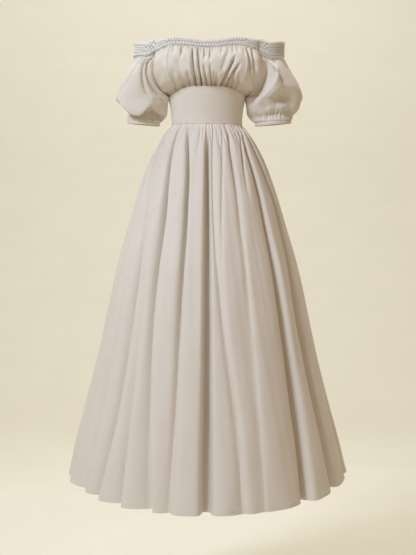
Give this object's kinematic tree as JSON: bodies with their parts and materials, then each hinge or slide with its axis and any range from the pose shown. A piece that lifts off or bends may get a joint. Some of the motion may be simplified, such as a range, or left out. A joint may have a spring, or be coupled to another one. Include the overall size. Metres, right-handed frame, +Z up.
{
  "type": "off-the-shoulder maxi dress",
  "caption": "Full-length off-the-shoulder dress in its worn, hollow form, with a gathered bust, puff sleeves, fitted waist yoke and gathered skirt.",
  "frame": {"origin": "middle of the neckline elastic, where the dress is held on its wearer", "axes": "+Z up, -Y towards the front of the dress, +X towards the wearer's left"},
  "size_m": [0.862, 0.8776, 1.3596],
  "materials": {
    "cotton": "matt ivory plain-weave cotton",
    "lace": "white cotton openwork lace",
    "enamel": "cream enamel, satin"
  },
  "bodies": {
    "dress": {"bust_centre": "cotton", "bust_side_left": "cotton", "bust_side_right": "cotton", "bodice_back_left": "cotton", "bodice_back_right": "cotton", "yoke_front": "cotton", "yoke_back_left": "cotton", "yoke_back_right": "cotton", "skirt_front": "cotton", "skirt_back_left": "cotton", "skirt_back_right": "cotton", "sleeve_left": "cotton", "sleeve_right": "cotton", "cuff_left": "cotton", "cuff_right": "cotton", "neck_lace": "lace", "zip_slider": "enamel"},
    "zip_tab": {"zip_tab": "enamel"}
  },
  "joints": [
    {"name": "zip_tab_swing", "type": "hinge", "parent": "dress", "child": "zip_tab", "pos_m": [0, 0.10713, -0.011], "axis": [1, 0, 0], "range_deg": [0, 150]}
  ]
}
